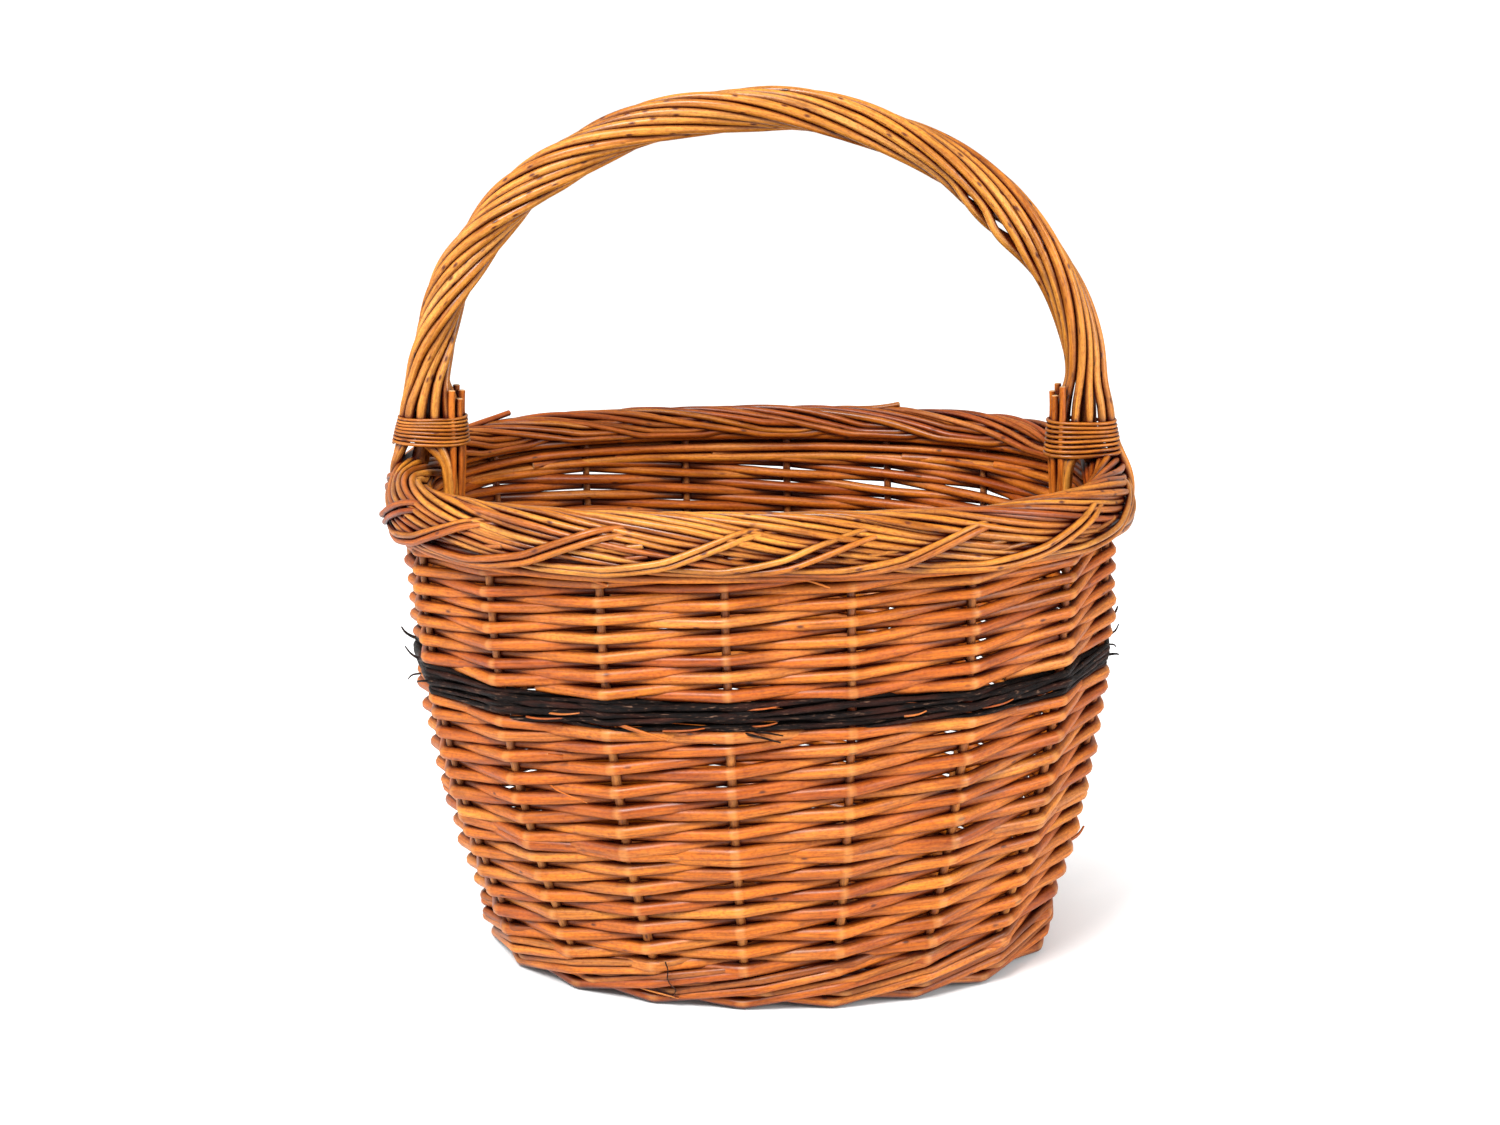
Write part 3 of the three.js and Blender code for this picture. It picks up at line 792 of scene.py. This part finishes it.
def add_handle():
    share = np.linspace(0.02, 0.98, 320)
    centre = bow_point(share)
    forward = np.gradient(centre, axis=0)
    forward /= np.linalg.norm(forward, axis=1)[:, None]
    outer = np.stack((-forward[:, 2], np.zeros(len(share)), forward[:, 0]), -1)
    front = np.array((0, -1.0, 0))
    bundles = {k: Bundle() for k in range(1, 6)}
    for rod in range(ROPE["rods"]):
        start = 2 * np.pi * (rod + 0.5) / ROPE["rods"]
        angle = start + 2 * np.pi * ROPE["turns"] * (1.4 * share - 0.4 * share**2)
        own = ROPE["radius"] + 1.3 * MM * np.cos(3 * start) + ripple(share, 0.08, 0.3 * MM)
        inner = smoothstep(0.78, 0.97, -np.cos(angle))
        opened = np.exp(-(((share - ROPE["slit_at"]) / ROPE["slit_length"]) ** 2))
        own = own + ROPE["slit"] * inner * opened
        sideways = outer * np.cos(angle)[:, None] + front * np.sin(angle)[:, None]
        rope = centre + sideways * own[:, None]
        left = foot_points(-1, start)
        right = foot_points(1, angle[-1])
        path = bend(np.concatenate((left[::-1], rope, right)), 5 * MM)
        radii = np.array((1.06, 0.94)) * ROPE["rod_radius"] * rng.uniform(0.95, 1.05)
        bundles[STRAND_OF_ROD[rod]].add(path, radii)
    for strand, bundle in bundles.items():
        name = f"handle_rope_rods_{strand}"
        bundle.build(name, HANDLE, [f"handle_rope_strand_{strand}"], "handle_willow")
    core = Bundle()
    path = np.concatenate((leg_points(-1)[::-1], centre, leg_points(1)))
    core.add(bend(path, 6 * MM), (CORE_ROD_RADIUS, CORE_ROD_RADIUS))
    core.build("handle_bow_rod", HANDLE, ["handle_bow"], "handle_willow")


def leg_points(side):
    """The bow's way down inside the wall below the rope."""
    way = ((190, 310), (196, 286), (199, 262), (199, 230))
    return np.array([(side * x * MM, 0, z * MM) for x, z in way])


def foot_points(side, angle):
    """A rod's way down the handle's foot: bound flat, then outside the border or inside it."""
    across, depth = np.cos(angle), np.sin(angle)
    if across > 0.9 and side > 0:
        over_border = ((209, 10, 296), (216, 9, 281), (216.5, 9, 266), (213, 9, 257))
    elif across > 0.6:
        over_border = ((207, 11, 295), (209.5, 12, 284), (206, 13, 270))
    else:
        inner = 178 + 3 * across
        over_border = ((inner, 11, 292), (inner - 1, 11, 268), (inner + 4, 11, 240))
    bound = [(188 + 15 * across, 10.8 * depth, 322), (188.5 + 16.5 * across, 11 * depth, 304)]
    way = [(x, y * depth, z) for x, y, z in over_border]
    return np.array([(side * x * MM, -y * MM, z * MM) for x, y, z in bound + way])


BINDINGS = (
    {"side": -1, "name": "left", "turns": 8, "radius": 0.98 * MM, "from": 300, "to": 316},
    {"side": 1, "name": "right", "turns": 8, "radius": 1.15 * MM, "from": 293, "to": 314},
)
BOUND_TINT = 0.6  # the one tone of the rods in the bindings and beside the legs


def add_bindings():
    """One thin rod wound round each leg, tighter towards the top."""
    for binding in BINDINGS:
        turns, radius = binding["turns"], binding["radius"]
        t = np.linspace(0, 1, 60 * turns)
        angle = 2 * np.pi * turns * t
        r = oval_radius(lerp(21.8, 19.2, t), lerp(14.6, 13.8, t), 2.5, angle)
        x = binding["side"] * (lerp(188.2, 186.8, t) + r * np.cos(angle))
        height = lerp(binding["from"], binding["to"], t) + 0.5 * np.sin(angle + 5 * t)
        path = bend(np.stack((x, r * np.sin(angle), height), -1) * MM, 1.2 * MM)
        bundle = Bundle()
        bundle.add(path, (radius * 1.05, radius * 0.95), sides=8, tint=BOUND_TINT)
        name = binding["name"]
        bundle.build(f"{name}_binding_rod", BORDER, [f"{name}_handle_binding"], "border_willow")


LINER_WAY = ((178, 246), (176, 266), (174.4, 288), (174.2, 305), (174.6, 318))  # x and z in mm
LINER_TOP = {"x": 174, "z": 335}
LINER_PAIR = ((3.6, 6), (0, 10.4))  # how far inwards and to the side each of the two stands


def add_liners():
    """Short rods pushed in beside the legs. Their cut ends stand up out of the bindings."""
    for side, name in ((-1, "left"), (1, "right")):
        for place, depthwise in (("front", -1), ("back", 1)):
            bundle = Bundle()
            for inwards, depth in LINER_PAIR:
                top = LINER_TOP["z"] - inwards - rng.uniform(0, 5)
                keys = LINER_WAY + ((LINER_TOP["x"], top),)
                points = [(side * (x - inwards), depthwise * depth, z) for x, z in keys]
                path = bend(np.array(points) * MM, 3 * MM)
                bundle.add(path, (1.9 * MM, 2.0 * MM), tint=BOUND_TINT)
            replaced = [f"{name}_handle_liner_{place}"]
            bundle.build(f"{name}_liner_rods_{place}", WALL, replaced, "handle_willow")


# ---- Loose ends ----

# Each lies on the wall: the stake it is near, its height, how far it runs along the wall and
# upwards, how far it stands off, and its radius, all but the stake in mm.
SPLINTERS = (
    {"stake": 11.9, "height": 259, "along": 13, "up": -2.5, "off": 7.5, "radius": 1.7},
    {"stake": 13.55, "height": 261, "along": 17, "up": -5, "off": 9, "radius": 1.1},
    {"stake": 11.55, "height": 157, "along": -5, "up": 3, "off": 8, "radius": 1.3},
    {"stake": 11.4, "height": 139, "along": 24, "up": -5, "off": 10.5, "radius": 0.4},
    {"stake": 12.1, "height": 179, "along": 26, "up": -6, "off": 8.5, "radius": 1.2},
    {"stake": 11.7, "height": 9, "along": 34, "up": -3, "off": 8.5, "radius": 0.9},
    {"stake": 11.6, "height": 11, "along": 38, "up": -4, "off": 9, "radius": 0.8},
    {"stake": 17.2, "height": 66, "along": 12, "up": 5, "off": 9, "radius": 1.2},
    {"stake": 4.4, "height": 150, "along": 16, "up": -4, "off": 9, "radius": 1.0},
)
DARK_SPLINTERS = (
    {"stake": 13.1, "height": 175, "along": 20, "up": -4, "off": 8, "radius": 0.9},
    {"stake": 13.2, "height": 176, "along": 15, "up": -1, "off": 8.4, "radius": 0.8},
    {"stake": 9.3, "height": 196, "along": -9, "up": 4, "off": 10, "radius": 1.0},
    {"stake": 9.7, "height": 190, "along": -12, "up": 5, "off": 9, "radius": 0.8},
    {"stake": 10.1, "height": 184, "along": -11, "up": -2, "off": 9.5, "radius": 0.9},
    {"stake": 9.6, "height": 180, "along": -8, "up": -5, "off": 10, "radius": 0.7},
    {"stake": 17.6, "height": 194, "along": 9, "up": 5, "off": 10, "radius": 1.0},
    {"stake": 17.3, "height": 189, "along": 11, "up": 4, "off": 9, "radius": 0.8},
    {"stake": 17.0, "height": 183, "along": 12, "up": -3, "off": 9.5, "radius": 0.9},
    {"stake": 17.5, "height": 180, "along": 8, "up": -4, "off": 10, "radius": 0.7},
)
CURLY_STEM = {
    "stake": 12.2,
    "height": 33,
    "drop": 27,
    "off": 10.5,
    "curl": 3.4,
    "turns": 1.7,
    "radius": 0.42,
}
LOOSE_RIM_RODS = (
    {"stake": 3.3, "along": -26, "up": 3.5, "radius": 1.9},
    {"stake": 7.6, "along": -52, "up": 5, "radius": 1.9},
)


def splinter_path(stake, height, along, up, off):
    """Comes out from between the rods, stands off a little and ends free."""
    reach = np.array((0, 0.25, 0.6, 1))
    shares = stake_share(stake) + reach * along * MM / RIM_LENGTH
    heights = (height + reach * up + np.array((0, 0.8, 0.6, 0))) * MM
    outwards = np.array((0.4, 0.85, 1, 1.12)) * off * MM
    return bend(wall(shares, heights, outwards)[0], 2 * MM)


def curly_stem_path():
    """A thin dried stem that hangs down the foot in wider and wider curls."""
    reach = np.linspace(0, 1, 28)
    turn = 2 * np.pi * CURLY_STEM["turns"] * reach
    curl = CURLY_STEM["curl"] * reach
    shares = stake_share(CURLY_STEM["stake"]) + curl * np.sin(turn) * MM / RIM_LENGTH
    heights = (CURLY_STEM["height"] - CURLY_STEM["drop"] * reach) * MM
    outwards = (CURLY_STEM["off"] + 0.5 * curl * np.cos(turn)) * MM
    return bend(wall(shares, heights, outwards)[0], 1 * MM)


def add_splinters(name, splinters, material, replaced, slot):
    bundle = Bundle()
    for splinter in splinters:
        shape = {key: value for key, value in splinter.items() if key != "radius"}
        radius = splinter["radius"] * MM
        bundle.add(splinter_path(**shape), (radius, radius * 0.5), sides=THIN_ROD_SIDES)
    bundle.build(name, material, [replaced], slot)


def add_curly_stem():
    stem = Bundle()
    radius = CURLY_STEM["radius"] * MM
    stem.add(curly_stem_path(), (radius, radius * 0.6), sides=THIN_ROD_SIDES)
    stem.build("curly_stem", DARK, ["foot_wale"], "wall_willow")


def add_loose_rim_rods():
    """Rod ends that have come up out of the rim."""
    rods = Bundle()
    for rod in LOOSE_RIM_RODS:
        reach = np.linspace(0, 1, 5)
        share = stake_share(rod["stake"]) + reach * rod["along"] * MM / RIM_LENGTH
        lift = 2 * MM + rod["up"] * reach**2 * MM
        points = on_arch(share, np.full(5, ARCH_WIDTH * 0.62), lift)
        radius = rod["radius"] * MM
        rods.add(bend(points, 3 * MM), (radius, radius))
    rods.build("loose_rim_rods", BORDER, ["border_core"], "border_willow")


# ---- Base ----


BASE_WEAVE = {
    "rings": 20,
    "height": 8.5 * MM,
    "wave": 3.2 * MM,
    "waves": 8,
    "edge": 5 * MM,  # how far inside the wall the last ring lies
    "spine": 45 * MM,  # half the length of the first ring, which is nearly a line
    "power": 2.3,
    "radii": (2.85 * MM, 2.7 * MM),
}


def add_base_sticks():
    """A rod in the place of each stick of the part."""
    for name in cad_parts:
        if not (name.startswith("base_") and "stick" in name):
            continue
        low, high = (np.array(corner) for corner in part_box(name))
        middle, half = (low + high) / 2, (high - low) / 2
        axis = int(np.argmax(half))
        ends = np.stack((middle, middle))
        ends[0, axis] = low[axis] + 1 * MM
        ends[1, axis] = high[axis] - 1 * MM
        radius = float(np.min(half))
        bundle = Bundle()
        bundle.add(bend(ends, 3 * MM), (radius, radius * 0.94))
        bundle.build(f"{name}_rod", STICK, [name], "base_stick_willow")


def add_base_weave():
    """Rings of weave that pass over and under the sticks, each out of step with the last."""
    bundle = Bundle()
    a, b, _, shift = oval_at(6 * MM)
    t = np.linspace(0, 1, 260)
    angle = 2 * np.pi * t
    for ring in range(BASE_WEAVE["rings"]):
        part = (ring + 0.8) / (BASE_WEAVE["rings"] - 0.2)
        half_a = (a - BASE_WEAVE["edge"]) * part + BASE_WEAVE["spine"] * (1 - part)
        half_b = (b - BASE_WEAVE["edge"]) * part
        r = oval_radius(half_a, half_b, BASE_WEAVE["power"], angle)
        weave = np.cos(BASE_WEAVE["waves"] * angle + np.pi * ring)
        z = BASE_WEAVE["height"] + BASE_WEAVE["wave"] * weave
        points = np.stack((r * np.cos(angle) + shift, r * np.sin(angle), z), -1)
        bundle.add(bend(points, 3 * MM), BASE_WEAVE["radii"])
    bundle.build("base_weave_rods", WALL, ["base_weave"], "wall_willow")


# ---- Stage ----

FLOOR_HALF = 12  # metres
FADE = {"from": 0.14, "to": 0.3, "glow": 0.6}  # metres from the middle, and the strength reached
SKY = {"lit": 0.54, "seen": 1.2}


def seen_by_camera(tree):
    """1 for what the camera sees directly, and 0 for the light that falls on the basket."""
    return node(tree, "ShaderNodeLightPath").outputs["Is Camera Ray"]


def scaled(tree, value, low, high, out_low, out_high):
    """A value taken from one range to another, and held inside it."""
    made = node(tree, "ShaderNodeMapRange")
    link(tree, value, made.inputs["Value"])
    limits = {"From Min": low, "From Max": high, "To Min": out_low, "To Max": out_high}
    for name, amount in limits.items():
        made.inputs[name].default_value = amount
    return made.outputs[0]


def floor_material():
    """White paper that shows shadows near the basket and fades to pure white away from it."""
    material = bpy.data.materials.new("floor")
    material.use_nodes = True
    tree = material.node_tree
    shader = tree.nodes["Principled BSDF"]
    shader.inputs["Base Color"].default_value = (0.86, 0.86, 0.86, 1)
    shader.inputs["Roughness"].default_value = 0.5
    shader.inputs["Emission Color"].default_value = (1, 1, 1, 1)
    away = node(tree, "ShaderNodeVectorMath", operation="LENGTH")
    link(tree, node(tree, "ShaderNodeTexCoord").outputs["Object"], away.inputs[0])
    fade = scaled(tree, away.outputs["Value"], FADE["from"], FADE["to"], 0, FADE["glow"])
    glow = node(tree, "ShaderNodeMath", operation="MULTIPLY")
    link(tree, fade, glow.inputs[0])
    link(tree, seen_by_camera(tree), glow.inputs[1])
    link(tree, glow.outputs[0], shader.inputs["Emission Strength"])
    return material


def add_floor():
    mesh = bpy.data.meshes.new("floor")
    corners = [(-FLOOR_HALF, -FLOOR_HALF, 0), (FLOOR_HALF, -FLOOR_HALF, 0)]
    corners += [(FLOOR_HALF, FLOOR_HALF, 0), (-FLOOR_HALF, FLOOR_HALF, 0)]
    mesh.from_pydata(corners, [], [(0, 1, 2, 3)])
    mesh.materials.append(floor_material())
    floor = bpy.data.objects.new("floor", mesh)
    bpy.context.scene.collection.objects.link(floor)


LIGHTS_AIM = (0, 0, 0.2)
LIGHTS = (
    {"name": "key", "place": (-0.8, -1.5, 2.0), "size": 0.8, "power": 82},
    {"name": "fill", "place": (1.7, -1.2, 0.9), "size": 1.0, "power": 32},
    {"name": "side", "place": (-1.9, -0.5, 0.9), "size": 1.0, "power": 12},
)


def add_light(name, place, size, power):
    light = bpy.data.lights.new(name, "AREA")
    light.size = size
    light.energy = power
    lamp = bpy.data.objects.new(name, light)
    lamp.location = place
    lamp.rotation_euler = (Vector(LIGHTS_AIM) - Vector(place)).to_track_quat("-Z", "Y").to_euler()
    bpy.context.scene.collection.objects.link(lamp)


def add_stage():
    add_floor()
    scene = bpy.context.scene
    world = bpy.data.worlds.new("studio")
    world.use_nodes = True
    tree = world.node_tree
    background = tree.nodes["Background"]
    strength = scaled(tree, seen_by_camera(tree), 0, 1, SKY["lit"], SKY["seen"])
    link(tree, strength, background.inputs["Strength"])
    background.inputs["Color"].default_value = (1, 1, 1, 1)
    scene.world = world
    for light in LIGHTS:
        add_light(**light)
    scene.view_settings.view_transform = "Standard"
    scene.view_settings.look = "None"


CAMERA = {"place": (-0.0041, -1.3002, 0.5485), "down": 0.2412, "lens": 54.94, "sensor": 36}


def add_camera():
    camera = bpy.data.cameras.new("camera")
    camera.lens = CAMERA["lens"]
    camera.sensor_width = CAMERA["sensor"]
    holder = bpy.data.objects.new("camera", camera)
    holder.location = CAMERA["place"]
    holder.rotation_euler = (math.pi / 2 - CAMERA["down"], 0, 0)
    bpy.context.scene.collection.objects.link(holder)
    bpy.context.scene.camera = holder


add_stakes()
for randing in RANDING_SETS:
    add_randing(randing)
add_dark_wale()
add_foot()
add_border()
add_border_core()
add_handle()
add_bindings()
add_liners()
add_splinters("splinters", SPLINTERS, WALL, "lower_weave", "wall_willow")
add_splinters("dark_splinters", DARK_SPLINTERS, DARK, "dark_wale", "dark_willow")
add_curly_stem()
add_loose_rim_rods()
add_base_sticks()
add_base_weave()
add_stage()
add_camera()
